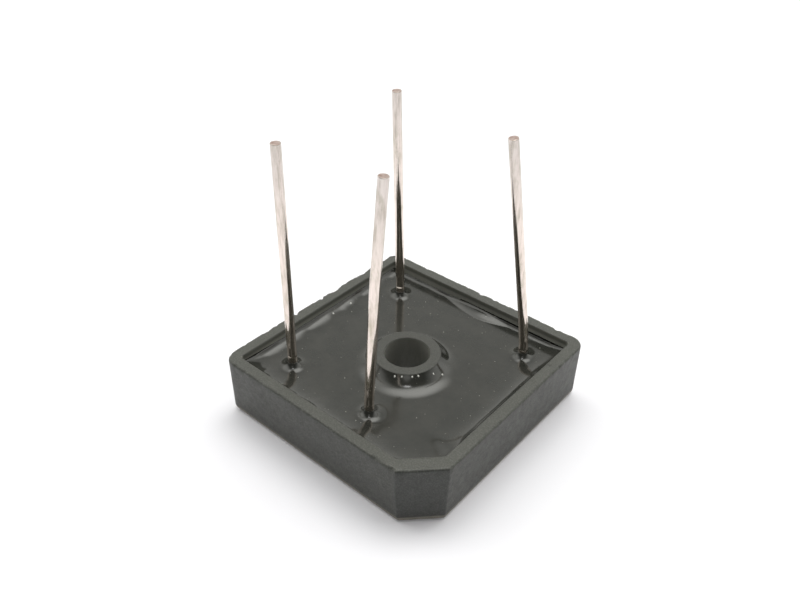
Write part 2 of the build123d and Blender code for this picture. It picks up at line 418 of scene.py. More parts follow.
def case_rings():
    """Rings round the case's section: up the outside, over the rim, down the inside and over the boss."""
    rings = [base_ring(rise, inset) for rise, inset in round_edge(5)][::-1]
    wall_top = CASE_HEIGHT - RIM_ROUND
    for height in np.linspace(BASE_BEVEL_HEIGHT, wall_top - LAST_WALL_RING, WALL_RINGS)[1:]:
        rings.append(at_height(outer_outline(height), height))
    for rise, inset in round_edge(6):
        strength = 1 - WEAR_THINNING * abs(rise - WEAR_MIDDLE)
        rings.append(worn(rim_ring(RIM_ROUND * inset, wall_top + RIM_ROUND * rise), strength))
    past_round, strength = LAST_WORN_RING
    rings.append(worn(rim_ring(RIM_ROUND + past_round, CASE_HEIGHT), strength))
    for inset in np.linspace(RIM_ROUND + FIRST_LAND_RING, RIM_WALL - EDGE_ROUND, LAND_RINGS):
        rings.append(pitted(rim_ring(inset, CASE_HEIGHT)))
    for fall, inset in reversed(list(round_edge())):
        height = CASE_HEIGHT - LAND_DROP - EDGE_ROUND * (1 - fall)
        rings.append(rim_ring(RIM_WALL - EDGE_ROUND * inset, height))
    for height in INNER_WALL_HEIGHTS:
        rings.append(at_height(inner_outline(height), height))
    return rings + boss_rings()


def circle_like(outline, radius, height):
    """A circle with a point at the angle of each point of an outline."""
    angle = np.arctan2(outline[:, 1], outline[:, 0])
    return at_height(radius * np.column_stack([np.cos(angle), np.sin(angle)]), height)


def boss_rings():
    """Rings from the foot of the boss over its top and down the screw hole to the closed face."""
    outline = inner_outline(FLOOR)
    rings = [circle_like(outline, BOSS_RADIUS, height) for height in BOSS_HEIGHTS]
    for rise, inset in round_edge():
        height = BOSS_TOP - EDGE_ROUND * (1 - rise)
        rings.append(circle_like(outline, BOSS_RADIUS - EDGE_ROUND * inset, height))
    for radius in np.linspace(BOSS_RADIUS - FACE_RING_GAP, HOLE_RADIUS + FACE_RING_GAP, BOSS_FACE_RINGS):
        rings.append(circle_like(outline, radius, BOSS_TOP))
    for rise, inset in reversed(list(round_edge())):
        height = BOSS_TOP - EDGE_ROUND * (1 - rise)
        rings.append(circle_like(outline, HOLE_RADIUS + EDGE_ROUND * inset, height))
    for height in HOLE_HEIGHTS:
        rings.append(circle_like(outline, HOLE_RADIUS, height))
    for rise, inset in round_edge(2):
        rings.append(circle_like(outline, HOLE_RADIUS + HOLE_BEVEL * inset, HOLE_BEVEL * (1 - rise)))
    return rings


def build_case(material):
    """The case as one closed mesh, skinned over its rings."""
    rings = case_rings()
    count = len(rings[0])
    points = np.concatenate(rings)
    faces = []
    for ring in range(len(rings)):
        following = (ring + 1) % len(rings)
        for index in range(count):
            beside = (index + 1) % count
            corners = ((ring, index), (ring, beside), (following, beside), (following, index))
            faces.append([r * count + i for r, i in corners])
    mesh = smooth_mesh("case_shell", points, faces, 50)
    return mesh_object("case_shell", mesh, [material], "case")


# Epoxy

def lead_climb():
    """Distances from a lead's axis and the height of the epoxy there: a catenoid, capped, that dies away."""
    distance = np.linspace(LEAD_RADIUS + 0.004, LEAD_FADE[1], 600)
    slope = LEAD_PULL * LEAD_RADIUS / np.sqrt(distance**2 - LEAD_RADIUS**2) * (1 - fade(*LEAD_FADE, distance))
    slope = np.minimum(slope, LEAD_STEEPEST)
    steps = np.diff(distance) * (slope[1:] + slope[:-1]) / 2
    height = np.concatenate([np.cumsum(steps[::-1])[::-1], [0]])
    return distance, height


def boss_climb():
    """Distances from the boss and the height of the epoxy there."""
    distance = np.linspace(0, BOSS_SLOPES[-1][0], 600)
    slope = np.interp(distance, *zip(*BOSS_SLOPES))
    steps = np.diff(distance) * (slope[1:] + slope[:-1]) / 2
    height = np.concatenate([np.cumsum(steps[::-1])[::-1], [0]])
    return distance, height


def bead_width(x):
    """How far the bead reaches out from the +Y wall."""
    least, most = BEAD_WIDTHS
    reach = np.where(x < BEAD_MIDDLE, *BEAD_REACH)
    ends = fade(*BEAD_STARTS, x) * (1 - fade(*BEAD_ENDS, x))
    return least * ends + (most - least) * np.exp(-(((x - BEAD_MIDDLE) / reach) ** 2)) + 1e-6


def from_cut(places):
    """Distance of places at the epoxy's level from the inside of the cut corner."""
    return (2 * inner_half(LEVEL) - INNER_CUT_LEG - places[:, 0] + places[:, 1]) / math.sqrt(2)


def wall_climb(places, flat):
    """How high the epoxy stands over its open level for the walls and the bead along one of them."""
    x, y = places[:, 0], places[:, 1]
    half = inner_half(LEVEL)
    to_walls = {"left": half + x, "front": half + y, "right": half - x, "back": half - y}
    to_walls["cut"] = from_cut(places)
    widths = dict(WALL_FADES)
    widths["left"] *= 1 + waves(np.column_stack([0 * y, y, 0 * y]), LEFT_WAVES)
    bulge_middle, bulge_reach, bulge = RIGHT_BULGE
    widths["right"] *= 1 + bulge * np.exp(-(((y - bulge_middle) / bulge_reach) ** 2))
    shares = dict.fromkeys(to_walls, 1)
    shares["right"] = fade(*RIGHT_START, y) * (1 - RIGHT_LOSS * fade(*RIGHT_END, y))
    squares = sum(
        (WALL_RISES[wall] * shares[wall] * np.exp(-np.clip(distance, 0, None) / widths[wall])) ** 2
        for wall, distance in to_walls.items()
    )
    calm_limits, calm = RIGHT_CALM
    unevenness = waves(flat, WALL_WAVES) * (1 - calm * fade(*calm_limits, to_walls["right"]))
    height = (1 + unevenness) * np.sqrt(squares)

    width = bead_width(x)
    reach = np.clip(to_walls["back"] / width, 0, 1)
    bead = BEAD_STEEPNESS * width * (1 - reach**2) * (1 + waves(flat, BEAD_WAVES))
    height = np.maximum(height, bead)

    nearest = np.clip(np.min(list(to_walls.values()), axis=0), 0, None)
    rise, thinning = WALL_SKIN
    skin = rise * (1 + waves(flat, SKIN_WAVES)) * np.exp(-nearest / thinning)
    return np.minimum(height + skin, CASE_HEIGHT - LEVEL - RIM_GAP)


def climb(places):
    """How high the epoxy stands over its open level at each of an array of places."""
    x, y = places[:, 0], places[:, 1]
    flat = np.column_stack([places, np.zeros(len(places))])
    height = wall_climb(places, flat)
    from_axis = np.hypot(x, y)
    towards_back = fade(*BACK_SIDE, (x * BACK[0] + y * BACK[1]) / from_axis)
    height += np.interp((from_axis - BOSS_RADIUS) * (1 + BOSS_NARROWING * towards_back), *boss_climb())
    for bubble_x, bubble_y, radius in BUBBLES:
        share = np.hypot(x - bubble_x, y - bubble_y) / radius
        height += BUBBLE_HEIGHT * radius * np.sqrt(np.clip(1 - share**2, 0, 1))
    distances, heights = lead_climb()
    for foot, *_ in LEADS.values():
        height += np.interp(np.hypot(x - foot[0], y - foot[1]), distances, heights)
    return height + waves(flat, LEVEL_WAVES)


def bubble_glint_at(points):
    """1 on the small bubbles of the open surface and 0 off them: where a painted highlight goes."""
    shares = [
        fade(1.2, 0.6, np.hypot(points[:, 0] - x, points[:, 1] - y) / radius) for x, y, radius in BUBBLES
    ]
    return np.max(shares, axis=0) * (points[:, 2] > LEVEL - 0.1)


def epoxy_places():
    """Places for the points of the open surface, closer together where it curves."""
    half = inner_half(LEVEL)
    places = []
    centres = [(foot, LEAD_RADIUS, LEAD_RINGS_REACH) for foot, *_ in LEADS.values()]
    centres.append(((0, 0), BOSS_RADIUS, BOSS_RINGS_REACH))
    step, step_growth = RING_STEP
    spacing, spacing_growth = RING_SPACING
    for foot, radius, reach in centres:
        out = FIRST_RING
        while out < reach:
            count = int(2 * math.pi * (radius + out) / (spacing + spacing_growth * out))
            places.append(np.array(foot) + circle(radius + out, max(RING_LEAST_POINTS, count)))
            out += step + step_growth * out
    for bubble_x, bubble_y, radius in BUBBLES:
        for share in BUBBLE_RINGS:
            places.append(np.array((bubble_x, bubble_y)) + circle(share * radius, BUBBLE_SIDES))
    along = np.arange(*BEAD_LINE_ENDS, EPOXY_EDGE_STEP)
    for share in BEAD_LINES:
        places.append(np.column_stack([along, half - share * bead_width(along)]))
    outline = inner_outline(LEVEL)
    for inset in WALL_LINES:
        places.append(outline * (1 - inset / half))

    steps = np.arange(-half, half, EPOXY_STEP)
    grid = np.array([(x, y) for x in steps for y in steps])
    past_rings = [np.hypot(*(grid - foot).T) - radius - reach for foot, radius, reach in centres]
    keep = np.min(past_rings, axis=0) > GRID_GAP
    keep &= np.abs(grid).max(axis=1) < half - GRID_TO_WALLS
    keep &= grid[:, 0] - grid[:, 1] < 2 * half - GRID_TO_CORNER
    places.append(grid[keep])

    places = np.concatenate(places)
    clear = (np.abs(places).max(axis=1) < half - LEAST_WALL_GAP) & (from_cut(places) > LEAST_WALL_GAP)
    for foot, radius, reach in centres:
        clear &= np.hypot(*(places - foot).T) > radius + LEAST_GAP
    return places[clear]


def remove_surface(work):
    """Takes the flat and sloped faces of the open surface off the potting."""
    lowest = (LEVEL - 0.01) * MM
    surface = [face for face in work.faces if min(vert.co.z for vert in face.verts) > lowest]
    bmesh.ops.delete(work, geom=surface, context="FACES")
    loose = [vert for vert in work.verts if not vert.link_faces]
    bmesh.ops.delete(work, geom=loose, context="VERTS")


def split_open_edges(work):
    """Puts points a short step apart along the open edges."""
    for edge in [edge for edge in work.edges if edge.is_boundary]:
        pieces = max(1, round(edge.calc_length() / MM / EPOXY_EDGE_STEP))
        here, there = edge.verts
        for left in range(pieces, 1, -1):
            edge, here = bmesh.utils.edge_split(edge, here, 1 / left)
            edge = next(e for e in here.link_edges if there in e.verts)


def outside_inner_wall(place):
    """Whether a place lies outside the potting's outline."""
    half = inner_half(CASE_HEIGHT) + 0.05
    return max(abs(place[0]), abs(place[1])) > half or place[0] - place[1] > 2 * half - INNER_CUT_LEG


def fill_surface(work):
    """Lays the curved surface between the open edges, and sets their points to its height."""
    open_edges = [edge for edge in work.edges if edge.is_boundary]
    rim = list(dict.fromkeys(vert for edge in open_edges for vert in edge.verts))
    number = {vert: index for index, vert in enumerate(rim)}
    boundary = np.array([vert.co.xy for vert in rim]) / MM
    for vert, height in zip(rim, LEVEL + climb(boundary)):
        vert.co.z = min(height, CASE_HEIGHT - EDGE_GAP) * MM

    places = [Vector(place) for place in np.concatenate([boundary, epoxy_places()])]
    edges = [[number[vert] for vert in edge.verts] for edge in open_edges]
    found, _, triangles, sources, _, _ = delaunay_2d_cdt(places, edges, [], 0, 1e-5)
    found = np.array(found)
    verts = []
    for place, height, source in zip(found, LEVEL + climb(found), sources):
        at_rim = [index for index in source if index < len(rim)]
        if at_rim:
            verts.append(rim[at_rim[0]])
        else:
            verts.append(work.verts.new((place[0] * MM, place[1] * MM, height * MM)))
    on_rim = [min(source, default=len(rim)) < len(rim) for source in sources]
    holes = [(foot, LEAD_RADIUS) for foot, *_ in LEADS.values()] + [((0, 0), BOSS_RADIUS)]
    for triangle in triangles:
        corners = [verts[index] for index in triangle]
        middle = np.mean([found[index] for index in triangle], axis=0)
        in_hole = any(math.dist(middle, foot) < radius * 0.995 for foot, radius in holes)
        if in_hole or (all(on_rim[index] for index in triangle) and outside_inner_wall(middle)):
            continue
        if len(set(corners)) == 3 and work.faces.get(corners) is None:
            work.faces.new(corners)


def build_epoxy(material):
    """The CAD potting with its open surface taken off and a finely curved one put in its place."""
    work = bmesh.new()
    work.from_mesh(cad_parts["potting"].data)
    bmesh.ops.remove_doubles(work, verts=work.verts, dist=1e-7)
    remove_surface(work)
    split_open_edges(work)
    fill_surface(work)
    mesh = bpy.data.meshes.new("epoxy")
    work.to_mesh(mesh)
    work.free()
    finish_mesh(mesh, 60)
    points = np.array([vert.co for vert in mesh.vertices]) / MM
    # Marks the bubbles, which the epoxy's material paints pale as a painted highlight.
    mesh.attributes.new("bubble_glint", "FLOAT", "POINT").data.foreach_set("value", bubble_glint_at(points))
    return mesh_object("epoxy", mesh, [material], "potting")


# Leads

def rounded_route(corners, radii):
    """Points along straight runs joined by smooth bends, each of about a radius."""
    route = [np.array(corners[0], float)]
    for here, before, after, radius in zip(corners[1:-1], corners[:-2], corners[2:], radii):
        here = np.array(here, float)
        back = np.array(before, float) - here
        on = np.array(after, float) - here
        back /= np.linalg.norm(back)
        on /= np.linalg.norm(on)
        turn = math.pi - math.acos(np.clip(back @ on, -1, 1))
        reach = radius * math.tan(turn / 2)
        start, end = here + back * reach, here + on * reach
        for share in np.linspace(0, 1, 9):
            route.append(start * (1 - share) ** 2 + 2 * here * share * (1 - share) + end * share**2)
    route.append(np.array(corners[-1], float))
    return np.array(route)


def evenly(route, step):
    """The same line with points a step apart."""
    lengths = np.concatenate([[0], np.cumsum(np.linalg.norm(np.diff(route, axis=0), axis=1))])
    marks = np.linspace(0, lengths[-1], max(2, int(lengths[-1] / step)))
    return np.column_stack([np.interp(marks, lengths, route[:, axis]) for axis in range(3)])


def lead_route(foot, root, lean, knee):
    """Points a step apart along a lead's axis, from its root to its tip."""
    foot = np.array((*foot, 0.0))
    bend = foot + (0, 0, LEVEL + LEAD_BEND_HEIGHT)
    tip = foot + (*lean, LEVEL + LEAD_REACH)
    corners = [foot + (0, 0, root), bend, tip]
    radii = [LEAD_BEND_RADIUS]
    if knee:
        height, push = knee
        share = (height - LEAD_BEND_HEIGHT) / (LEAD_REACH - LEAD_BEND_HEIGHT)
        corners.insert(2, bend + (tip - bend) * share + (*push, 0))
        radii.append(LEAD_KNEE_RADIUS)
    return evenly(rounded_route(corners, radii), LEAD_STEP)


def build_lead(name, seed, tin, cut):
    """A wire on its nail head, with slight ripples in its tin above the epoxy and a cut end."""
    foot, root, lean, knee = LEADS[name]
    route = lead_route(foot, root, lean, knee)
    around = np.linspace(0, 2 * math.pi, LEAD_SIDES, endpoint=False)
    head_top = route[0] + (0, 0, HEAD_THICKNESS)
    head = [(route[0], 0.6 * HEAD_RADIUS), (route[0], HEAD_RADIUS)]
    head += [(head_top, HEAD_RADIUS), (head_top, LEAD_RADIUS)]
    stem = [place for place in route if place[2] > root + HEAD_THICKNESS + LEAD_STEP / 2]
    tip = route[-1]
    along = route[-1] - route[-2]
    along /= np.linalg.norm(along)
    edge = [(tip - along * below, LEAD_RADIUS - thinner) for below, thinner in TIP_EDGE]
    face_rings = [(tip, LEAD_RADIUS * share) for share in TIP_FACE]
    sections = head + [(place, LEAD_RADIUS) for place in stem[:-1]] + edge + face_rings
    cut_start = len(sections) - len(face_rings) - 1
    points = []
    for index, (place, radius) in enumerate(sections):
        ahead = sections[min(index + 1, len(sections) - 1)][0] - sections[max(index - 1, 0)][0]
        in_head, at_tip = index < len(head), index >= cut_start - 1
        direction = Vector((0, 0, 1)) if in_head else Vector(along if at_tip else ahead).normalized()
        turn = direction.to_track_quat("Z", "Y").to_matrix()
        for angle in around:
            spot = Vector(place) + turn @ Vector((math.cos(angle), math.sin(angle), 0)) * radius
            if not at_tip and place[2] > LEVEL + RIPPLES_START:
                stretched = Vector((spot.x, spot.y, spot.z / RIPPLE_STRETCH)) + Vector((seed * 9.1, 0, 0))
                ripple = RIPPLE_DEPTH * (noise.noise(stretched / RIPPLE_SIZE) - 1)
                spot = Vector(place) + (spot - Vector(place)) * (1 + ripple / radius)
            points.append(spot)
    faces = []
    for ring in range(len(sections) - 1):
        for index in range(LEAD_SIDES):
            beside = (index + 1) % LEAD_SIDES
            low, high = ring * LEAD_SIDES, (ring + 1) * LEAD_SIDES
            faces.append([low + index, low + beside, high + beside, high + index])
    last = (len(sections) - 1) * LEAD_SIDES
    faces.append([LEAD_SIDES - 1 - index for index in range(LEAD_SIDES)])
    faces.append([last + index for index in range(LEAD_SIDES)])
    mesh = smooth_mesh(f"wire_{name}", [tuple(point) for point in points], faces, 40)
    for face in mesh.polygons:
        face.material_index = int(min(face.vertices) >= cut_start * LEAD_SIDES)
    return mesh_object(f"wire_{name}", mesh, [tin, cut], name)


# Materials

def add_node(tree, kind, inputs=None, **settings):
    """Adds a shader node with its settings, and its inputs as values or as outputs to be joined to them."""
    node = tree.nodes.new("ShaderNode" + kind)
    for setting, value in settings.items():
        setattr(node, setting, value)
    for socket, value in (inputs or {}).items():
        if isinstance(value, bpy.types.NodeSocket):
            tree.links.new(value, node.inputs[socket])
        else:
            node.inputs[socket].default_value = value
    return node


class Shader:
    """A new node material with its Principled node, and short ways to add nodes to it."""

    def __init__(self, name, **sockets):
        self.material = bpy.data.materials.new(name)
        self.material.use_nodes = True
        self.tree = self.material.node_tree
        self.surface = self.tree.nodes["Principled BSDF"]
        for socket, value in sockets.items():
            self.surface.inputs[socket].default_value = value
        metres = self.add("TexCoord").outputs["Object"]
        self.place = self.add("VectorMath", {0: metres, "Scale": 1 / MM}, operation="SCALE").outputs[0]

    def add(self, kind, inputs=None, **settings):
        return add_node(self.tree, kind, inputs, **settings)

    def finish(self, colour, roughness, normal):
        """Joins the three to the surface and gives the finished material."""
        for socket, output in (("Base Color", colour), ("Roughness", roughness), ("Normal", normal)):
            self.tree.links.new(output, self.surface.inputs[socket])
        return self.material

    def marked(self, name):
        """A value that the mesh carries at its points."""
        return self.add("Attribute", attribute_name=name).outputs["Fac"]

    def along(self, axis):
        """The millimetre coordinate along an axis."""
        return self.add("SeparateXYZ", {0: self.place}).outputs[axis]

    def stretched(self, scale):
        """The millimetre coordinates, scaled by a different amount along each axis."""
        return self.add("VectorMath", {0: self.place, 1: scale}, operation="MULTIPLY").outputs[0]

    def noise(self, size, detail=2.0, roughness=0.5, place=None):
        """Noise from 0 to 1 with lumps about a size across, in millimetres."""
        inputs = {"Vector": place or self.place, "Scale": 1 / size, "Detail": detail, "Roughness": roughness}
        return self.add("TexNoise", inputs).outputs["Fac"]

    def ramp(self, value, *stops):
        """A colour or grey that follows a value through stops of (position, colour)."""
        node = self.add("ValToRGB", {"Fac": value})
        elements = node.color_ramp.elements
        while len(elements) < len(stops):
            elements.new(0.5)
        for element, (position, colour) in zip(elements, stops):
            element.position = position
            element.color = (*colour, 1) if isinstance(colour, tuple) else (colour, colour, colour, 1)
        return node.outputs["Color"]

    def calculate(self, operation, *values):
        """A sum or the like of outputs and numbers."""
        return self.add("Math", dict(enumerate(values)), operation=operation).outputs[0]

    def step(self, value, edge, width):
        """1 below an edge and 0 above it, with a soft step of a width."""
        limits = {"From Min": edge - width, "From Max": edge + width, "To Min": 1, "To Max": 0}
        node = self.add("MapRange", {"Value": value, **limits}, interpolation_type="SMOOTHSTEP")
        return node.outputs["Result"]

    def lowness(self, height, width=0.12):
        """1 on what lies below a height in millimetres, and 0 above it."""
        return self.step(self.along("Z"), height, width)

    def nearness(self, radius):
        """1 on what lies within a radius of the screw hole's axis in millimetres, and 0 outside it."""
        length = self.add("VectorMath", {0: self.stretched((1, 1, 0))}, operation="LENGTH")
        return self.step(length.outputs["Value"], radius, 0.04)

    def towards_cut(self):
        """How far towards the cut corner a place lies, as its x less its y."""
        return self.calculate("SUBTRACT", self.along("X"), self.along("Y"))

    def insideness(self, half, cut_leg):
        """1 inside a square with half such a side and its +X -Y corner cut off, and 0 outside it."""
        across = [self.calculate("ABSOLUTE", self.along(axis)) for axis in "XY"]
        past_cut = self.calculate("SUBTRACT", self.towards_cut(), half - cut_leg)
        most = self.calculate("MAXIMUM", self.calculate("MAXIMUM", *across), past_cut)
        return self.step(most, half, 0.02)

    def mix(self, share, first, second, kind="MIX"):
        """Two colours mixed by a share, each given as an output or as a colour."""
        node = self.add("Mix", data_type="RGBA", blend_type=kind)
        sockets = [socket for socket in node.inputs if socket.enabled]
        for socket, value in zip(sockets, (share, first, second)):
            if isinstance(value, bpy.types.NodeSocket):
                self.tree.links.new(value, socket)
            else:
                socket.default_value = (*value, 1) if isinstance(value, tuple) else value
        return next(socket for socket in node.outputs if socket.enabled)

    def bump(self, height, distance, strength, before=None):
        """Bump of a distance in millimetres, added to an earlier one."""
        inputs = {"Height": height, "Distance": distance * MM, "Strength": strength}
        if before:
            inputs["Normal"] = before
        return self.add("Bump", inputs).outputs["Normal"]


# Tones of the moulded plastic, the epoxy and the tin, fitted to the photograph
CASE_TONES = ((0.052, 0.0535, 0.046), (0.059, 0.0605, 0.052))
EPOXY_TONES = ((0.021, 0.022, 0.019), (0.03, 0.03, 0.026))
DUST_TONE = (0.26, 0.26, 0.23)
# Painted highlight: the bubbles' glints, painted as a pale colour.
BUBBLE_PAINTED_GLINT = (0.75, 0.75, 0.72)
TIN_TONES = ((0.58, 0.51, 0.44), (0.8, 0.71, 0.645), (0.88, 0.79, 0.725))
TAN_TONE = (0.47, 0.43, 0.33)
TIP_SHADE = (0.76, 0.78, 0.8)
TIP_TARNISH = (27.0, 7.0)   # height round which the tin grows duller towards the tips, and over how much
SILICON_TONES = ((0.05, 0.055, 0.07), (0.11, 0.12, 0.15))

# Other tones of the plastic by place, fitted to the photograph under this scene's own lights. They are
# painted light on the screw hole, the inner walls and the bevel under the walls, and painted shade on the
# boss and the cut face. No cause for them, such as dust or another finish, can be seen in it.
# Painted light: the screw hole's bore is painted far paler than the plastic.
HOLE_PAINTED_LIGHT = (0.36, 0.36, 0.33)
# Painted shade: the boss is painted darker than the rest of the plastic.
BOSS_PAINTED_SHADE = (0.7, 0.7, 0.7)
# Painted shade: the cut face, turned away from the light, is painted darker.
CUT_FACE_PAINTED_SHADE = (0.72, 0.73, 0.74)
# Painted light: the inner walls of the cavity are painted paler, and paler still low down.
INNER_WALL_PAINTED_LIGHT = (0.11, 0.112, 0.098)
INNER_WALL_LOW_PAINTED_LIGHT = (0.26, 0.265, 0.24)
LOW_TONE_TOP = 6.85         # height up to which the inner walls have the paler of their two tones
# Painted light: the bevel under the walls is painted paler and browner, for the light it takes from the
# floor.
PAINTED_BEVEL_LIGHT = (0.2, 0.185, 0.15)


def case_plastic():
    """Matt, dark grey-green moulding compound with a fine grain, and with painted light and shade by place.
    """
    shader = Shader("case_plastic", IOR=1.5)
    grain = shader.noise(0.16, 3, 0.65)
    blotches = shader.noise(3.2, 4, 0.6)
    tone = shader.ramp(blotches, (0.3, CASE_TONES[0]), (0.7, CASE_TONES[1]))
    specks = shader.ramp(grain, (0.3, 0.68), (0.5, 0.96), (0.68, 1.5))
    plain = shader.mix(1.0, tone, specks, "MULTIPLY")
    # Painted light on the inner walls
    inner = shader.mix(shader.lowness(LOW_TONE_TOP, 0.2), INNER_WALL_PAINTED_LIGHT, INNER_WALL_LOW_PAINTED_LIGHT)
    colour = shader.mix(shader.insideness(RIM_HALF - RIM_WALL + 0.02, INNER_CUT_LEG), plain, inner)
    # Painted shade on the boss, its top and its side
    boss = shader.mix(1.0, plain, BOSS_PAINTED_SHADE, "MULTIPLY")
    colour = shader.mix(shader.nearness(BOSS_RADIUS + 0.1), colour, boss)
    # Painted light in the screw hole
    colour = shader.mix(shader.nearness(HOLE_RADIUS), colour, HOLE_PAINTED_LIGHT)
    # Painted shade on the cut face
    cut_face = shader.mix(1.0, colour, CUT_FACE_PAINTED_SHADE, "MULTIPLY")
    short_of_cut = shader.step(shader.towards_cut(), 2 * BASE_HALF - BASE_CUT_LEG - 0.1, 0.03)
    colour = shader.mix(short_of_cut, cut_face, colour)
    # Painted light on the bevel under the walls
    colour = shader.mix(shader.lowness(BASE_BEVEL_HEIGHT), colour, PAINTED_BEVEL_LIGHT)
    roughness = shader.ramp(shader.noise(0.6, 3), (0.3, 0.44), (0.7, 0.58))
    normal = shader.bump(shader.noise(0.14, 3, 0.6), 0.014, 0.7)
    normal = shader.bump(shader.noise(1.6, 2), 0.012, 0.5, normal)
    return shader.finish(colour, roughness, normal)


def potting_epoxy():
    """Glossy black epoxy with a little haze, specks of dust, and bubbles painted pale as a painted highlight.
    """
    shader = Shader("potting_epoxy", IOR=1.52)
    haze = shader.noise(2.2, 4, 0.6)
    tone = shader.ramp(haze, (0.35, EPOXY_TONES[0]), (0.65, EPOXY_TONES[1]))
    dust = shader.ramp(shader.noise(0.22, 1, 0.4), (0.77, 0.0), (0.81, 1.0))
    colour = shader.mix(dust, tone, DUST_TONE)
    # Painted highlight on the bubbles
    colour = shader.mix(shader.marked("bubble_glint"), colour, BUBBLE_PAINTED_GLINT)
    roughness = shader.ramp(haze, (0.3, 0.1), (0.7, 0.14))
    return shader.finish(colour, roughness, shader.bump(shader.noise(0.5, 2), 0.002, 0.4))


def tinned_wire():
    """Dull tin over copper: cream-white with tan and grey-green streaks drawn along the wire."""
    shader = Shader("tinned_wire", Metallic=1.0)
    streaks = shader.noise(0.28, 3, 0.6, shader.stretched((1, 1, 0.12)))
    patches = shader.noise(0.9, 3, 0.6, shader.stretched((1, 1, 0.4)))
    tin = shader.ramp(streaks, *zip((0.3, 0.5, 0.7), TIN_TONES))
    tan = shader.ramp(patches, (0.52, 0.0), (0.7, 0.6))
    colour = shader.mix(tan, tin, TAN_TONE)
    dull = shader.mix(1.0, colour, TIP_SHADE, "MULTIPLY")
    colour = shader.mix(shader.lowness(*TIP_TARNISH), dull, colour)
    roughness = shader.ramp(patches, (0.3, 0.09), (0.7, 0.17))
    return shader.finish(colour, roughness, shader.bump(streaks, 0.003, 0.4))


def metal(name, dark, light, roughness, size, stretch, bump):
    """A bare metal with tarnish in lumps of a size and brushing or graining along an axis."""
    shader = Shader(name, Metallic=1.0)
    lumps = shader.noise(size, 4, 0.6)
    colour = shader.ramp(lumps, (0.32, dark), (0.68, light))
    smoothest, roughest = roughness
    roughness = shader.ramp(lumps, (0.3, roughest), (0.7, smoothest))
    grain = shader.noise(size * 0.2, 3, 0.6, shader.stretched(stretch))
    return shader.finish(colour, roughness, shader.bump(grain, bump, 0.6))


def silicon():
    """Dark grey passivated chips with a faint blue sheen."""
    shader = Shader("silicon", Metallic=0.4)
    lumps = shader.noise(0.8, 3)
    colour = shader.ramp(lumps, (0.35, SILICON_TONES[0]), (0.7, SILICON_TONES[1]))
    roughness = shader.ramp(lumps, (0.3, 0.22), (0.7, 0.35))
    return shader.finish(colour, roughness, shader.bump(shader.noise(0.1, 2), 0.003, 0.5))


def dress_inside(materials):
    """Gives each CAD node that stays its material, by the start of its name."""
    kinds = dict.fromkeys(("heat", "positive_plate", "negative_plate", "ac_strap"), "copper")
    kinds.update({"solder": "solder", "chip": "silicon"})
    for name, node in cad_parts.items():
        kind = next((kind for start, kind in kinds.items() if name.startswith(start)), None)
        if kind:
            node.data.materials.clear()
            node.data.materials.append(materials[kind])


# Camera, fitted to the case's edges, the hole, the boss and the feet of the leads in the photograph
CAMERA_AZIMUTH = math.radians(40.401)
CAMERA_ELEVATION = math.radians(35.745)
CAMERA_ROLL = math.radians(0.504)
CAMERA_PLACE = Vector((42.179, -50.851, 61.683))
CAMERA_LENS = 34.796
CAMERA_SENSOR = 36.0


# Stage

FLOOR_HALF = 1.5            # metres
FLOOR_DROP = 0.00001        # metres, so that the floor and the closed face don't meet
FLOOR_TONE = (0.872, 0.868, 0.92)
FLOOR_LIFT = 0.08           # what the floor gives by itself where it is seen, and its tint
FLOOR_LIFT_TINT = (0.98, 0.97, 1, 1)

# Lights of the room, placed so that the epoxy mirrors them where the photograph has its highlights: direction
# in degrees right of the camera's heading and above the horizon, degrees from there within which a light is
# full and beyond which it is none, and how much it gives, where 1 is the background's white
ROOM_TINT = (1, 1, 0.95, 1)
ROOM_BASE = 0.16
ROOM_LIGHTS = [
    ((0, 0), (70, 105), 0.8),
    ((25, 71), (0, 25), 4.1),
    ((72, 38), (0, 36), 1.0),
    ((-60, 52), (0, 32), 1.6),
    ((180, 58), (0, 11), 1.3),
]
# A small lamp high on the camera's side: its direction the same way, its distance and size in metres, its
# brightness at the middle, where 1 is the background's white, and the degrees over which it shines
TOP_SOFTBOX = ((175, 80), 0.5, 0.07, 8.0, 60)


def seen_directly(tree):
    """1 for rays from the camera, from glossy surfaces and through glass, and 0 for the others."""
    path = add_node(tree, "LightPath").outputs
    total = path["Is Camera Ray"]
    for kind in ("Is Glossy Ray", "Is Transmission Ray"):
        total = add_node(tree, "Math", {0: total, 1: path[kind]}, operation="MAXIMUM").outputs[0]
    return total


def build_floor():
    """A pale floor that reads as white where nothing shades it."""
    mesh = bpy.data.meshes.new("floor")
    corners = [(x * FLOOR_HALF, y * FLOOR_HALF, -FLOOR_DROP) for x, y in ((-1, -1), (1, -1), (1, 1), (-1, 1))]
    mesh.from_pydata(corners, [], [(0, 1, 2, 3)])
    floor = bpy.data.objects.new("floor", mesh)
    bpy.context.scene.collection.objects.link(floor)
    material = bpy.data.materials.new("pale_floor")
    material.use_nodes = True
    tree = material.node_tree
    tree.nodes.clear()
    paint = add_node(tree, "BsdfDiffuse", {"Color": (*FLOOR_TONE, 1)})
    strength = add_node(tree, "Math", {0: seen_directly(tree), 1: FLOOR_LIFT}, operation="MULTIPLY")
    lift = add_node(tree, "Emission", {"Color": FLOOR_LIFT_TINT, "Strength": strength.outputs[0]})
    both = add_node(tree, "AddShader", {0: paint.outputs[0], 1: lift.outputs[0]})
    add_node(tree, "OutputMaterial", {"Surface": both.outputs[0]})
    mesh.materials.append(material)


def heading(aside, above):
    """The direction so many degrees to the right of the camera's heading and above the horizon."""
    turn = math.pi / 2 + CAMERA_AZIMUTH - math.radians(aside)
    level = math.cos(math.radians(above))
    return Vector((math.cos(turn) * level, math.sin(turn) * level, math.sin(math.radians(above))))


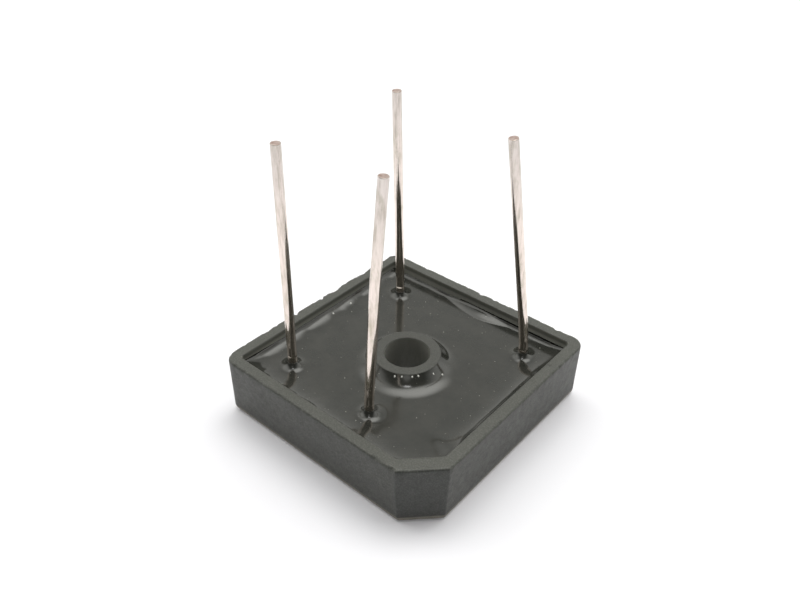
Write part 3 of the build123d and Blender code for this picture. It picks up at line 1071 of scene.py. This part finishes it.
def room_light(tree):
    """How bright the room is by direction: its base and all its lights added up."""
    direction = add_node(tree, "TexCoord").outputs["Generated"]
    total = ROOM_BASE
    for place, (full, none), strength in ROOM_LIGHTS:
        along = add_node(tree, "VectorMath", {0: direction, 1: heading(*place)}, operation="DOT_PRODUCT")
        low, high = math.cos(math.radians(none)), math.cos(math.radians(full))
        inputs = {"Value": along.outputs["Value"], "From Min": low, "From Max": high, "To Max": strength}
        fall = add_node(tree, "MapRange", inputs, interpolation_type="SMOOTHSTEP")
        total = add_node(tree, "Math", {0: fall.outputs["Result"], 1: total}, operation="ADD").outputs[0]
    return total


def build_world():
    """White where it is seen, and the room for everything that mirrors it or is lit by it."""
    world = bpy.data.worlds.new("studio")
    bpy.context.scene.world = world
    world.use_nodes = True
    tree = world.node_tree
    tree.nodes.clear()
    room = add_node(tree, "Background", {"Color": ROOM_TINT, "Strength": room_light(tree)})
    white = add_node(tree, "Background", {"Color": (1, 1, 1, 1), "Strength": 1})
    seen = add_node(tree, "LightPath").outputs["Is Camera Ray"]
    both = add_node(tree, "MixShader", {0: seen, 1: room.outputs[0], 2: white.outputs[0]})
    add_node(tree, "OutputWorld", {"Surface": both.outputs[0]})


def build_camera():
    """The camera of the photograph."""
    back = Vector((
        math.sin(CAMERA_AZIMUTH) * math.cos(CAMERA_ELEVATION),
        -math.cos(CAMERA_AZIMUTH) * math.cos(CAMERA_ELEVATION),
        math.sin(CAMERA_ELEVATION),
    ))
    right = Vector((0, 0, 1)).cross(back).normalized()
    up = back.cross(right)
    turned_right = right * math.cos(CAMERA_ROLL) + up * math.sin(CAMERA_ROLL)
    turned_up = up * math.cos(CAMERA_ROLL) - right * math.sin(CAMERA_ROLL)
    data = bpy.data.cameras.new("camera")
    data.sensor_width = CAMERA_SENSOR
    data.lens = CAMERA_LENS
    data.clip_start = 0.005
    data.clip_end = 10
    camera = bpy.data.objects.new("camera", data)
    turn = Matrix((turned_right, turned_up, back)).transposed()
    camera.matrix_world = Matrix.Translation(CAMERA_PLACE * MM) @ turn.to_4x4()
    bpy.context.scene.collection.objects.link(camera)
    bpy.context.scene.camera = camera


def build_softbox():
    """The small lamp, which isn't seen itself."""
    place, distance, size, brightness, spread = TOP_SOFTBOX
    way = heading(*place)
    data = bpy.data.lights.new("top_softbox", "AREA")
    data.size = size
    data.spread = math.radians(spread)
    narrowing = 1 - data.spread / 2 / math.tan(data.spread / 2)
    data.energy = brightness * math.pi * size**2 * narrowing
    lamp = bpy.data.objects.new("top_softbox", data)
    lamp.location = way * distance
    lamp.rotation_mode = "QUATERNION"
    lamp.rotation_quaternion = way.to_track_quat("Z", "Y")
    lamp.visible_camera = False
    bpy.context.scene.collection.objects.link(lamp)


def main():
    materials = {
        "case": case_plastic(),
        "epoxy": potting_epoxy(),
        "tin": tinned_wire(),
        "cut": metal("cut_end", (0.3, 0.2, 0.17), (0.55, 0.45, 0.42), (0.3, 0.45), 0.5, (1, 1, 1), 0.01),
        "copper": metal("copper", (0.66, 0.3, 0.18), (0.9, 0.52, 0.36), (0.25, 0.42), 2.5, (1, 6, 1), 0.01),
        "solder": metal("solder", (0.42, 0.42, 0.42), (0.68, 0.68, 0.66), (0.3, 0.5), 0.7, (1, 1, 1), 0.02),
        "silicon": silicon(),
    }
    build_case(materials["case"])
    build_epoxy(materials["epoxy"])
    for seed, name in enumerate(LEADS, 1):
        build_lead(name, seed, materials["tin"], materials["cut"])
    dress_inside(materials)
    build_floor()
    build_world()
    build_softbox()
    build_camera()
    bpy.context.scene.view_settings.view_transform = "Standard"


main()
